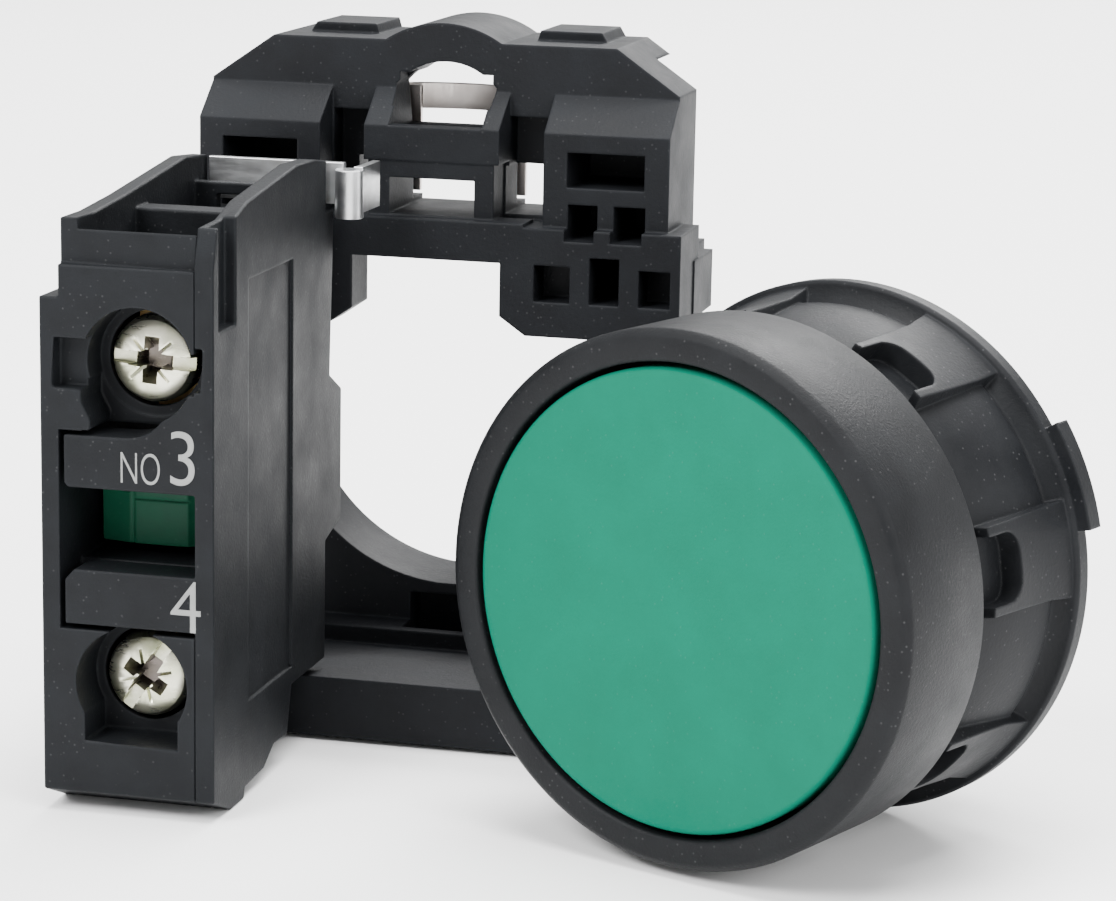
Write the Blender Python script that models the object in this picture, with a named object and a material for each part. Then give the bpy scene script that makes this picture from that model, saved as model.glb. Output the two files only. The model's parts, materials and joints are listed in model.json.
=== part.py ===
"""Flush push button for a 22 mm panel hole, dismounted in two groups that stand on one surface:
the mounting collar with one normally open contact block on it, and the operating head.

+Z is up. Sizes are written in millimetres, and the mesh helpers turn them into metres. The collar's
bore runs along Y and its wiring side faces -Y. The base group is measured from the front left
bottom corner of the contact block, and the head from the middle of its front face, with its axis
along the head's local +Y.
"""

import math

import bmesh
import bpy
from mathutils import Vector

MM = 0.001
GAP = 0.3  # air between pieces that touch on the real device

# where the two groups stand; the frame's origin is the middle of the floor under the whole set
BASE_PLACE = (-27.85, -15.01, 0.0)
HEAD_PLACE = (7.75, -16.29, 15.0)
HEAD_TURN = math.radians(-22.25)

# contact block
BLOCK_WIDTH = 10.0
BLOCK_WALL = 1.05
COVER_X = 8.9  # inner face of the right hand wall
FACE_BACK = 3.6  # inside of the terminal face
PLATE_DEPTH = 2.6  # thickness of the label plates
MID_X = 5.3  # plunger and contacts
UPPER_SCREW = (5.6, 25.4)
LOWER_SCREW = (5.2, 7.5)
SCREW_FACE = 2.2  # how deep the screw heads sit
SCREW_HEAD_R = 2.45
SCREW_HEAD_BACK = 3.9
SCREW_SHANK_R = 1.65
SCREW_END = 11.5
WELL_R = 3.25
WELL_DEPTH = 4.2
WASHER_R = 2.35
WASHER_T = 0.9
STRIP_Y = 7.5  # front face of the fixed strips
STRIP_T = 1.2
STRIP_ARM_T = 1.0
CONTACT_GAP = 2.6
BRIDGE_Y = 15.6
BRIDGE_T = 0.8
BRIDGE_HALF = 2.3
TIP_T = 0.6
TIP_R = 1.3
UPPER_TIP_Z = 21.6
LOWER_TIP_Z = 11.2
PLUNGER_Z = 16.4
STEM_HALF = 1.2
LATCH_Y = 20.6
LATCH_T = 0.5

# collar
COLLAR_X = 14.6  # middle of the bore
COLLAR_Z = 17.9
TOWER_HALF = 14.6
TOWER_INNER = 6.95
PLATE_HALF = 15.6
BORE_R = 11.2
PLATE_Y = 24.8
WALL_Y = 28.2
RING_Y = 30.9
COLLAR_BACK = 36.6
COLLAR_TOP = 40.9
ARCH_TOP = 42.0
ARCH_R = 6.5
LOCK_SPRING_Y = 32.2
LOCK_SPRING_T = 0.35

# fixing nut
NUT_RIBS = 7
FIRST_RIB = math.radians(8.5)
RIB_HALF = math.radians(10)

ROUND = 48  # sides of a large round piece
SMALL = 24  # sides of a small one


def clear_scene():
    for thing in list(bpy.data.objects):
        bpy.data.objects.remove(thing, do_unlink=True)


def make_material(name, colour, roughness, metallic=0.0):
    material = bpy.data.materials.new(name)
    material.use_nodes = True
    shader = material.node_tree.nodes["Principled BSDF"]
    shader.inputs["Base Color"].default_value = (*colour, 1.0)
    shader.inputs["Roughness"].default_value = roughness
    shader.inputs["Metallic"].default_value = metallic
    return material


def make_materials():
    return {
        "black": make_material("black_plastic", (0.035, 0.038, 0.042), 0.55),
        "green": make_material("green_cap", (0.0, 0.37, 0.23), 0.4),
        "dark_green": make_material("green_plunger", (0.01, 0.16, 0.06), 0.45),
        "rubber": make_material("rubber", (0.02, 0.02, 0.02), 0.8),
        "zinc": make_material("zinc_steel", (0.72, 0.71, 0.62), 0.3, 1.0),
        "spring": make_material("spring_steel", (0.6, 0.56, 0.52), 0.3, 1.0),
        "brass": make_material("brass", (0.72, 0.5, 0.22), 0.35, 1.0),
        "silver": make_material("silver", (0.85, 0.85, 0.83), 0.25, 1.0),
    }


def finish(bm, name, material, parent):
    """Scales a bmesh to metres and links it; a mesh without a material is a helper for a Boolean."""
    bmesh.ops.scale(bm, vec=(MM, MM, MM), verts=bm.verts)
    bmesh.ops.recalc_face_normals(bm, faces=bm.faces)
    mesh = bpy.data.meshes.new(name)
    bm.to_mesh(mesh)
    bm.free()
    obj = bpy.data.objects.new(name, mesh)
    bpy.context.scene.collection.objects.link(obj)
    obj.parent = parent
    if material:
        mesh.materials.append(material)
        mesh.shade_smooth()
        mesh.set_sharp_from_angle(angle=math.radians(30))
    else:
        obj.hide_render = True
        obj.display_type = "WIRE"
    return obj


def box(name, low, high, material=None, parent=None):
    bm = bmesh.new()
    bmesh.ops.create_cube(bm, size=1.0)
    low, high = Vector(low), Vector(high)
    bmesh.ops.scale(bm, vec=high - low, verts=bm.verts)
    bmesh.ops.translate(bm, vec=(high + low) / 2, verts=bm.verts)
    return finish(bm, name, material, parent)


def prism(name, outline, axis, start, end, material=None, parent=None):
    """A flat outline pushed along one axis; the outline gives the two other axes in order."""
    bm = bmesh.new()

    def ring(along):
        points = [list(point) for point in outline]
        for point in points:
            point.insert("XYZ".index(axis), along)
        return [bm.verts.new(point) for point in points]

    near, far = ring(start), ring(end)
    bm.faces.new(near)
    bm.faces.new(far)
    for i in range(len(outline)):
        j = (i + 1) % len(outline)
        bm.faces.new((near[i], near[j], far[j], far[i]))
    return finish(bm, name, material, parent)


def turned(name, profile, middle=(0.0, 0.0), sides=ROUND, material=None, parent=None):
    """A closed (radius, y) profile turned about the line along Y through middle, an (x, z)."""
    bm = bmesh.new()
    rings = []
    for radius, y in profile:
        turns = [math.tau * i / sides for i in range(sides if radius else 1)]
        points = [(middle[0] + radius * math.cos(a), y, middle[1] + radius * math.sin(a)) for a in turns]
        rings.append([bm.verts.new(point) for point in points])
    for ring, after in zip(rings, rings[1:] + rings[:1]):
        if len(ring) == len(after) == 1:
            continue
        for i in range(sides):
            j = i + 1
            corners = (ring[i % len(ring)], ring[j % len(ring)], after[j % len(after)], after[i % len(after)])
            bm.faces.new(dict.fromkeys(corners))
    return finish(bm, name, material, parent)


def disc(name, radius, start, end, middle, sides=SMALL, material=None, parent=None):
    profile = [(0.0, start), (radius, start), (radius, end), (0.0, end)]
    return turned(name, profile, middle, sides, material, parent)


def boolean(target, operation, others):
    for other in others:
        other.parent = target.parent
        modifier = target.modifiers.new(f"{operation} {other.name}".lower(), "BOOLEAN")
        modifier.operation = operation
        modifier.object = other
        modifier.solver = "EXACT"


def cut(target, *others):
    boolean(target, "DIFFERENCE", others)


def join(target, *others):
    boolean(target, "UNION", others)


def arc(middle, radius, start, end, steps):
    """Points on a circle, with the angles in degrees."""
    turns = [math.radians(start + (end - start) * i / steps) for i in range(steps + 1)]
    return [(middle[0] + radius * math.cos(a), middle[1] + radius * math.sin(a)) for a in turns]


def coil(name, radius, wire, start, end, turns, middle, material, parent):
    """A compression spring along Y from start to end."""
    steps = 14
    curve = bpy.data.curves.new(name, "CURVE")
    curve.dimensions = "3D"
    curve.bevel_depth = wire * MM
    curve.bevel_resolution = 1
    curve.use_fill_caps = True
    spline = curve.splines.new("POLY")
    spline.points.add(turns * steps)
    rise = (end - start - 2 * wire) / (turns * steps)
    for i, point in enumerate(spline.points):
        angle = math.tau * i / steps
        x, z = middle[0] + radius * math.cos(angle), middle[1] + radius * math.sin(angle)
        point.co = (x * MM, (start + wire + rise * i) * MM, z * MM, 1.0)
    obj = bpy.data.objects.new(name, curve)
    bpy.context.scene.collection.objects.link(obj)
    curve.materials.append(material)
    obj.parent = parent
    return obj


def block_side(top_front):
    """(y, z) outline of the block's side: stepped foot, stop at the back and sloped top."""
    foot = [(0, 1.2), (2.9, 0), (5.1, 0), (5.3, 0.6), (8.6, 0.75), (10.4, 1.7), (12.8, 1.6), (13.6, 4.4)]
    back = [(19.9, 4.4), (19.9, 11.6), (22.9, 12.4), (22.9, 20.4), (20.6, 21.6), (21.2, 31.6), (21.2, 34.3)]
    return foot + back + top_front


def make_block_housing(base, look):
    """Left hand shell: side wall, terminal face with its wells, sloped top and stepped foot."""
    side = block_side([(17.6, 34.6), (7.5, 33.6), (3.2, 33.3), (0.4, 33.3), (0, 30.8)])
    shell = prism("block_housing", side, "X", 0.0, COVER_X - GAP, look["black"], base)
    hollow = [
        (FACE_BACK, 3.4), (12.0, 3.4), (12.6, 5.6), (18.9, 5.6), (18.9, 12.7), (21.8, 13.4),
        (21.8, 19.5), (19.4, 20.8), (19.6, 28.5), (FACE_BACK, 28.5),
    ]  # fmt: skip
    cut(
        shell,
        prism("block_hollow", hollow, "X", BLOCK_WALL, BLOCK_WIDTH),
        box("rib_step", (-1, -1, 29.0), (1.1, 30, 36)),
        box("front_step", (1.0, -1, 30.8), (12, 0.45, 36)),
        box("plate_window", (BLOCK_WALL, -1, 10.5), (12, 4.0, 21.7)),
        box("upper_wire_pocket", (2.4, -1, 21), (12, 3.0, 24.4)),
        disc("upper_well", WELL_R, -1, WELL_DEPTH, UPPER_SCREW, 32),
        box("upper_notch", (0.7, -1, 24.0), (3.4, 1.1, 26.8)),
        box("upper_side_gap", (7.6, -1, 23.4), (12, WELL_DEPTH, 26.6)),
        disc("lower_well", WELL_R, -1, WELL_DEPTH, LOWER_SCREW, 32),
        box("lower_pocket", (2.45, -1, 4.1), (7.9, WELL_DEPTH, 7.5)),
        box("front_trough", (2.1, 1.9, 30.6), (12, 9.2, 36)),
        box("rear_trough", (2.1, 11.2, 30.1), (12, 18.9, 36)),
        box("rear_wall_top", (2.1, 18.8, 33.0), (12, 19.8, 36)),
        box("rear_wall_window", (3.5, 18.5, 31.4), (7.0, 20, 32.3)),
        box("bar_top", (2.1, 8.9, 32.7), (12, 11.5, 36)),
        box("latch_seat", (2.1, 19.7, 31.4), (12, 22, 36)),
        box("plunger_exit", (MID_X - 2.4, 20, 14.2), (MID_X + 2.4, 24, 18.7)),
        box("upper_wire_entry", (3.0, 4.6, 28), (8.2, 7.8, 32)),
        box("lower_wire_entry", (2.7, 4.3, -1), (7.7, 7.3, 6)),
    )
    join(
        shell,
        box("clip_hook", (3.0, 20.3, 26.3), (4.2, 26.5, 28.5)),
        box("spring_rib", (0.8, 10.9, 15.4), (2.6, 11.5, 17.4)),
        box("guide_below", (0.8, 3.2, 13.2), (COVER_X - GAP, 12.2, 13.8)),
        box("guide_above", (0.8, 3.2, 18.7), (COVER_X - GAP, 12.2, 19.3)),
    )
    return shell


def make_block_cover(base, look):
    """Right hand wall of the block, carrying the two label plates that fill the face window."""
    side = block_side([(17.6, 34.8), (14.3, 34.9), (5.7, 33.9), (3.3, 33.2), (0.6, 33.1), (0, 30.9)])
    cover = prism("block_side_cover", side, "X", COVER_X, BLOCK_WIDTH, look["black"], base)
    rise = [(9.5, 24.0), (8.0, 24.0), (7.4, 22.5), (6.4, 21.8), (4.6, 21.4), (1.35, 21.4)]
    upper = [(1.35, 18.5), (9.5, 18.5), *rise]
    lower = [(1.35, 10.8), (9.5, 10.8), (9.5, 13.9), (1.9, 13.9), (1.35, 13.3)]
    join(
        cover,
        prism("upper_plate", upper, "Y", 0.0, PLATE_DEPTH),
        prism("lower_plate", lower, "Y", 0.0, PLATE_DEPTH),
    )
    cut(
        cover,
        disc("upper_well_side", WELL_R, -1, WELL_DEPTH, UPPER_SCREW, 32),
        box("upper_well_edge", (8.0, -1, 24.2), (9.3, WELL_DEPTH, 26.6)),
        box("side_slot", (9.3, 0.9, 27.4), (12, 3.7, 36)),
        box("label_panel", (9.8, 5.8, 5.5), (12, 14.3, 29.6)),
        box("cover_latch_seat", (8, 19.7, 31.4), (12, 22, 36)),
    )
    return cover


def make_plunger(base, look):
    """Green slider: faceted front block, stem through the bridge, push end and spring lug."""
    front = [(1.5, 5.3), (2.6, 4.9), (5.6, 4.9), (7.6, 5.3), (7.6, 9.6), (1.5, 9.6)]
    body = prism("plunger", front, "Z", 14.4, 18.1, look["dark_green"], base)
    low, high = PLUNGER_Z - STEM_HALF, PLUNGER_Z + STEM_HALF
    join(
        body,
        box("plunger_stem", (MID_X - STEM_HALF, 9.0, low), (MID_X + STEM_HALF, 21.0, high)),
        box("plunger_end", (MID_X - 2.0, 20.6, 14.6), (MID_X + 2.0, 24.4, 18.3)),
        box("spring_lug", (1.4, 20.8, 15.4), (3.6, 21.5, 17.4)),
    )
    coil("contact_spring", 2.15, 0.2, 18.4, 20.3, 4, (MID_X, PLUNGER_Z), look["spring"], base)
    coil("plunger_spring", 0.5, 0.15, 11.8, 16.2, 6, (2.0, PLUNGER_Z), look["spring"], base)


def make_bridge(base, look):
    """Moving contact bar that slides on the plunger's stem, with a tip at each end."""
    low = (MID_X - BRIDGE_HALF, BRIDGE_Y, LOWER_TIP_Z - 1.5)
    high = (MID_X + BRIDGE_HALF, BRIDGE_Y + BRIDGE_T, UPPER_TIP_Z + 1.5)
    bar = box("contact_bridge", low, high, look["brass"], base)
    eye = STEM_HALF + GAP
    cut(bar, box("bridge_eye", (MID_X - eye, 10, PLUNGER_Z - eye), (MID_X + eye, 20, PLUNGER_Z + eye)))
    for level, z in (("upper", UPPER_TIP_Z), ("lower", LOWER_TIP_Z)):
        start = BRIDGE_Y - GAP - TIP_T
        disc(f"bridge_tip_{level}", TIP_R, start, start + TIP_T, (MID_X, z), 20, look["silver"], base)


def make_terminal(level, screw, tip_z, base, look):
    """One terminal: screw, captive washer, fixed strip with its screw plate, and silver tip."""
    x, z = screw
    inward = -1 if level == "upper" else 1
    profile = [
        (0.0, SCREW_FACE), (1.75, SCREW_FACE + 0.05), (SCREW_HEAD_R, SCREW_FACE + 0.5),
        (SCREW_HEAD_R, SCREW_HEAD_BACK), (SCREW_SHANK_R, SCREW_HEAD_BACK),
        (SCREW_SHANK_R, SCREW_END - 0.5), (SCREW_SHANK_R - 0.5, SCREW_END), (0.0, SCREW_END),
    ]  # fmt: skip
    head = turned(f"terminal_screw_{level}", profile, screw, 28, look["zinc"], base)
    cut(head, box(f"slot_{level}", (x - 3, 1, z - 0.38), (x + 3, SCREW_FACE + 0.75, z + 0.38)))

    hole = SCREW_SHANK_R + GAP
    front = SCREW_HEAD_BACK + GAP
    back = front + WASHER_T
    washer = disc(f"clamp_washer_{level}", WASHER_R, front, back, screw, SMALL, look["zinc"], base)
    cut(washer, disc(f"washer_hole_{level}", hole, 0, 20, screw))

    tip_face = BRIDGE_Y - GAP - TIP_T - CONTACT_GAP
    arm_back = tip_face - TIP_T - GAP
    arm_front = arm_back - STRIP_ARM_T
    knee = z + inward * 2.1
    leg_end = knee + inward * STRIP_ARM_T
    ends = sorted((z - inward * 2.6, leg_end))
    plate = box(
        f"fixed_contact_{level}",
        (MID_X - 2.3, STRIP_Y, ends[0]),
        (MID_X + 2.6, STRIP_Y + STRIP_T, ends[1]),
        look["brass"],
        base,
    )
    leg = sorted((knee, leg_end))
    arm = sorted((knee, tip_z + inward * 1.6))
    join(
        plate,
        box(f"strip_leg_{level}", (MID_X - 2.2, STRIP_Y + 0.1, leg[0]), (MID_X + 2.2, arm_back, leg[1])),
        box(f"strip_arm_{level}", (MID_X - 2.2, arm_front, arm[0]), (MID_X + 2.2, arm_back, arm[1])),
    )
    cut(plate, disc(f"strip_hole_{level}", hole, 0, 9.5, screw))
    disc(f"contact_tip_{level}", TIP_R, tip_face - TIP_T, tip_face, (MID_X, tip_z), 20, look["silver"], base)


def make_latch(base, look):
    """Bright metal latch across the top of the block, its right end rolled into a tab."""
    back = LATCH_Y + LATCH_T
    sheet = box("latch_clip", (2.4, LATCH_Y, 31.8), (11.3, back, 34.3), look["zinc"], base)
    roll = arc((11.2, LATCH_Y - 0.25), 0.85, 0, 360, 20)[:-1]
    join(
        sheet,
        prism("latch_roll", roll, "Z", 31.1, 33.95),
        box("latch_tail", (11.4, LATCH_Y - 0.2, 31.4), (11.9, 24.0, 34.1)),
    )


def make_collar(base, look):
    """Black collar: ring and wall with three clip towers above, and the foot shelf below."""
    left, right = COLLAR_X - TOWER_HALF, COLLAR_X + TOWER_HALF
    chamfer = 3.9
    wall = [
        (left, 0), (right, 0), (right, 38.2), (right - chamfer, COLLAR_TOP),
        (left + chamfer, COLLAR_TOP), (left, 38.2),
    ]  # fmt: skip
    collar = prism("mounting_collar", wall, "Y", WALL_Y, COLLAR_BACK, look["black"], base)
    arch = arc((COLLAR_X, ARCH_TOP - ARCH_R), ARCH_R, 56, 124, 10)
    arch = [(COLLAR_X + 3.7, 40.0), *arch, (COLLAR_X - 3.7, 40.0)]
    cut(collar, box("upper_back", (-5, 33.0, 28.6), (35, 60, 39.9)))
    ledge = [(25.7, 33.9), (29.0, 33.9), (29.0, 38.0), (28.2, 38.0), (25.7, 36.0)]
    shelf = [(17.4, 0), (31.5, 0), (31.5, 2.9), (17.4, 3.9)]
    tower = [(25.7, 29.9), *ledge[1:]]
    tower[1] = (29.0, 29.9)
    join(
        collar,
        prism("arch", arch, "Y", WALL_Y + 0.05, COLLAR_BACK - 0.4),
        prism("ledge", ledge, "X", COLLAR_X - 4.2, COLLAR_X + 4.2),
        box("pillars", (COLLAR_X - 3.9, 25.75, 29), (COLLAR_X + 3.9, 28.6, 35)),
        box("crossbar", (8.6, PLATE_Y, 28.2), (20.6, 27.2, 30.6)),
        prism("shelf", shelf, "X", left, right),
    )
    for side in (-1, 1):

        def spread(near, far):
            return sorted((COLLAR_X + side * near, COLLAR_X + side * far))

        tab = [(4.9, 40.5), (9.6, 40.5), (9.0, 41.5), (5.2, 41.5)]
        plate = [(4.6, 30.4), (PLATE_HALF, 30.4), (PLATE_HALF, 23.9), (6.2, 23.9), (4.6, 25.0)]
        tab, plate = ([(COLLAR_X + side * x, z) for x, z in outline] for outline in (tab, plate))
        tower_ends, lug_ends = spread(TOWER_INNER, TOWER_HALF), spread(13.0, 15.7)
        join(
            collar,
            prism(f"top_tab_{side}", tab, "Y", 31.4, COLLAR_BACK - 0.2),
            prism(f"plate_{side}", plate, "Y", PLATE_Y, 30.0),
            prism(f"tower_{side}", tower, "X", *tower_ends),
            box(f"side_lug_{side}", (lug_ends[0], 28.5, 24.9), (lug_ends[1], 33.8, 28.4)),
        )
    bore = arc((COLLAR_X, COLLAR_Z), BORE_R, 0, 360, ROUND)[:-1]
    window_top = arc((COLLAR_X + 0.2, 35.6), 4.1, 40, 140, 8)
    window = [(11.9, 35.7), (17.7, 35.7), *window_top]
    cut(
        collar,
        prism("bore", bore, "Y", 28.0, 60),
        box("ring_relief", (-2, 27, 4.2), (32, RING_Y, 23.2)),
        box("gap_left", (7.75, 24, 30.7), (10.4, 30, 36.6)),
        box("gap_right", (18.8, 24, 30.7), (21.45, 30, 36.6)),
        box("lower_window", (12.0, 24, 30.7), (17.3, 60, 32.9)),
        box("left_window", (8.8, 28, 30.7), (10.6, 60, 33.6)),
        box("right_window", (18.6, 28, 30.7), (21.2, 60, 33.6)),
        box("ledge_hollow", (11.9, 26.9, 34.7), (17.7, 30, 39)),
        box("ledge_front", (11.9, 25, 36.0), (17.7, 30, 39)),
        box("spring_pocket", (10.0, 31.0, 31.0), (19.2, 34.4, 38.8)),
        prism("arch_window", window, "Y", 27, 60),
        box("foot_recess", (12.1, 29, 2.9), (17.1, 33.0, 6.0)),
    )
    for side in (-1, 1):
        for name, near, far, low, high, back in (
            ("tower_window", 8.4, 13.1, 32.8, 34.9, 31.6),
            ("inner_eye", 8.5, 10.3, 29.7, 31.8, 31.6),
            ("outer_eye", 11.3, 13.2, 29.7, 31.8, 31.6),
            ("inner_socket", 6.7, 8.9, 26.0, 28.2, 27.2),
            ("middle_socket", 10.1, 11.9, 26.0, 28.8, 32.0),
            ("outer_socket", 13.1, 15.0, 26.0, 28.2, 27.2),
        ):
            ends = sorted((COLLAR_X + side * near, COLLAR_X + side * far))
            cut(collar, box(f"{name}_{side}", (ends[0], 20, low), (ends[1], back, high)))
    key = arc((COLLAR_X + 1.6, 6.7), 0.9, 0, 360, 12)[:-1]
    join(collar, prism("bore_key", key, "Y", RING_Y + 0.2, COLLAR_BACK - 0.2))


def make_lock_spring(base, look):
    """Stainless leaf in the collar: a bowed strip across the arch window and two flat legs."""
    middle, outer = (COLLAR_X, LOCK_SPRING_Y - 6.2), 7.6
    bow = arc(middle, outer, 57, 123, 12) + arc(middle, outer - LOCK_SPRING_T, 123, 57, 12)
    strip = prism("collar_lock_spring", bow, "Z", 36.3, 37.9, look["spring"], base)
    for side in (-1, 1):
        ends = sorted((COLLAR_X + side * 2.45, COLLAR_X + side * 4.25))
        join(strip, box(f"leg_{side}", (ends[0], 32.0, 31.3), (ends[1], 32.4, 37.8)))


def make_head(head, look):
    """Operating head about its own axis: every profile is (radius, depth behind the front face)."""
    bezel = [
        (12.75, 0.25), (13.0, 0), (14.0, 0), (14.5, 0.6), (14.5, 7.6), (14.2, 8.0),
        (9.9, 8.0), (9.9, 7.2), (12.75, 7.2),
    ]  # fmt: skip
    cap = [
        (0, 0), (11.9, 0), (12.45, 0.25), (12.45, 2.0), (11.3, 2.0), (11.3, 1.6),
        (5.6, 1.6), (5.6, 4.4), (4.7, 4.4), (4.7, 1.6), (0, 1.6),
    ]  # fmt: skip
    seal = [(8.2, 6.55), (12.3, 6.55), (12.3, 6.9), (8.6, 6.9), (8.6, 7.6), (8.2, 7.6)]
    pusher = [
        (0, 1.9), (4.4, 1.9), (4.4, 9.0), (7.3, 9.0), (7.3, 10.2), (4.4, 10.2),
        (4.4, 23.2), (3.9, 23.6), (0, 23.6),
    ]  # fmt: skip
    disc_profile = [(4.7, 22.7), (9.3, 22.7), (9.7, 23.1), (9.7, 23.9), (4.7, 23.9)]
    barrel = [
        (7.6, 7.9), (9.6, 7.9), (9.6, 8.3), (11.0, 8.3), (11.0, 21.8), (10.5, 22.3),
        (4.7, 22.3), (4.7, 21.1), (7.6, 21.1),
    ]  # fmt: skip
    gasket = [(11.3, 8.3), (13.4, 8.3), (13.4, 9.3), (11.3, 9.3)]
    turned("bezel", bezel, material=look["black"], parent=head)
    turned("button_cap", cap, material=look["green"], parent=head)
    turned("cap_seal", seal, material=look["rubber"], parent=head, sides=32)
    turned("pusher", pusher, material=look["black"], parent=head, sides=32)
    turned("push_disc", disc_profile, material=look["black"], parent=head)
    turned("panel_gasket", gasket, material=look["rubber"], parent=head)
    body = turned("head_body", barrel, material=look["black"], parent=head)
    cut(body, box("key_slot", (-1.1, 18.6, -12), (1.1, 40, -10)))
    coil("return_spring", 6.2, 0.35, 14.8, 20.8, 4, (0.0, 0.0), look["spring"], head)


def make_nut(head, look):
    """Fixing nut: a ring that flares away from the bezel, with raised ribs for the key."""
    profile = [
        (11.3, 9.6), (12.8, 9.6), (13.1, 9.9), (13.8, 15.9), (13.6, 16.2), (14.4, 16.6),
        (15.0, 16.9), (15.0, 17.9), (14.7, 18.2), (11.3, 18.2),
    ]  # fmt: skip
    nut = turned("fixing_nut", profile, material=look["black"], parent=head, sides=56)
    for i in range(NUT_RIBS):
        middle = math.degrees(FIRST_RIB + math.tau * i / NUT_RIBS)
        start, end = middle - math.degrees(RIB_HALF), middle + math.degrees(RIB_HALF)
        rib = arc((0, 0), 14.2, start, end, 4) + arc((0, 0), 12.2, end, start, 4)
        join(nut, prism(f"rib_{i}", rib, "Y", 9.7, 17.0))
    bump = arc((0, 0), 15.8, 12, 34, 6) + arc((0, 0), 13.5, 34, 12, 6)
    join(nut, prism("rim_bump", bump, "Y", 17.0, 18.2))


def main():
    clear_scene()
    look = make_materials()
    base = bpy.data.objects.new("base_place", None)
    head = bpy.data.objects.new("head_place", None)
    for empty, place in ((base, BASE_PLACE), (head, HEAD_PLACE)):
        bpy.context.scene.collection.objects.link(empty)
        empty.location = Vector(place) * MM
    head.rotation_euler.z = HEAD_TURN

    make_block_housing(base, look)
    make_block_cover(base, look)
    make_plunger(base, look)
    make_bridge(base, look)
    make_terminal("upper", UPPER_SCREW, UPPER_TIP_Z, base, look)
    make_terminal("lower", LOWER_SCREW, LOWER_TIP_Z, base, look)
    make_latch(base, look)
    make_collar(base, look)
    make_lock_spring(base, look)
    make_head(head, look)
    make_nut(head, look)


main()
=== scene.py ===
import json
import math

import bmesh
import bpy
from mathutils import Matrix, Vector


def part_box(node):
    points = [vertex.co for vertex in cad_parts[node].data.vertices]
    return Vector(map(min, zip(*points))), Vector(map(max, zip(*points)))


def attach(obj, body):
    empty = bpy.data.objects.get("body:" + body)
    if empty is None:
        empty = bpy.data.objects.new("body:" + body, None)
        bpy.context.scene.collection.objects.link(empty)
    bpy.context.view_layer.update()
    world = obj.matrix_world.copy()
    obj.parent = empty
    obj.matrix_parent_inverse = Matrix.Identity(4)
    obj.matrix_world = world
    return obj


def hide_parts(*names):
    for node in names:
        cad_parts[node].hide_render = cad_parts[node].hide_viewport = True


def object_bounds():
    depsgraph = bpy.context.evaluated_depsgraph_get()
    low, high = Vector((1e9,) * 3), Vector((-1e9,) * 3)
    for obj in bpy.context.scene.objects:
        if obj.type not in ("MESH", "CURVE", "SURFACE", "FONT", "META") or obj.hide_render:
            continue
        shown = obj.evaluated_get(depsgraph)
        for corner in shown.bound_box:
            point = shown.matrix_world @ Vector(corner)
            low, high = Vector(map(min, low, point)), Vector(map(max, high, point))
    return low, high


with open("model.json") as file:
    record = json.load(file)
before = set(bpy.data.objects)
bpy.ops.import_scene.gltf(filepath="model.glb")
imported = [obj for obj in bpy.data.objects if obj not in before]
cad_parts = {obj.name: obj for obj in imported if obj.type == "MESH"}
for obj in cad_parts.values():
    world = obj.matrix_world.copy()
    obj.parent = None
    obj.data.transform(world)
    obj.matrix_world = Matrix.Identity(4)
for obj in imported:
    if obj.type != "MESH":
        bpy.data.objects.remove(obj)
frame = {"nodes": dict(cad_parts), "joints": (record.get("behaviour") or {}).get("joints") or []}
cadLow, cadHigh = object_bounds()
print("frame loaded")

mm = 0.001
mergeGap = 0.004  # corners nearer than this, in millimetres, become one
seamGap = 0.0005  # the same where a turned outline closes on itself
flatAngle = 0.05  # degrees; faces that turn less than this are joined before edges are rounded
scene = bpy.context.scene
joints = {joint["name"]: joint for joint in frame["joints"]}

# pieces are drawn in millimetres at their group's own origin, then put in place:
# the base group from the contact block's front left bottom corner, the head from its front centre
basePlace = Matrix.Translation(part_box("block_housing")[0])
headAxis = Vector(joints["button_press"]["axis"]).normalized()
nutDepth = 14.0
headFront = Vector(joints["nut_turn"]["pos_m"]) - headAxis * nutDepth * mm
headTurn = Vector((0, 1, 0)).rotation_difference(headAxis).to_matrix().to_4x4()
headPlace = Matrix.Translation(headFront) @ headTurn


def newObject(name, mesh):
    obj = bpy.data.objects.new(name, mesh)
    scene.collection.objects.link(obj)
    return obj


def fromBmesh(bm, name):
    bmesh.ops.recalc_face_normals(bm, faces=bm.faces)
    mesh = bpy.data.meshes.new(name)
    bm.to_mesh(mesh)
    bm.free()
    return newObject(name, mesh)


def applyStack(obj):
    graph = bpy.context.evaluated_depsgraph_get()
    mesh = bpy.data.meshes.new_from_object(obj.evaluated_get(graph), depsgraph=graph)
    obj.modifiers.clear()
    obj.data = mesh


def block(low, high):
    bm = bmesh.new()
    bmesh.ops.create_cube(bm, size=1.0)
    low, high = Vector(low), Vector(high)
    for vert in bm.verts:
        vert.co = low + (vert.co + Vector((0.5, 0.5, 0.5))) * (high - low)
    return fromBmesh(bm, "block")


def extrusion(outline, axis, start, end):
    # the outline gives the two other axes in order
    bm = bmesh.new()
    spot = "XYZ".index(axis)
    rings = []
    for along in (start, end):
        points = [list(point) for point in outline]
        for point in points:
            point.insert(spot, along)
        rings.append([bm.verts.new(point) for point in points])
        bm.faces.new(rings[-1])
    near, far = rings
    for i in range(len(outline)):
        j = (i + 1) % len(outline)
        bm.faces.new((near[i], near[j], far[j], far[i]))
    return fromBmesh(bm, "extrusion")


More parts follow.
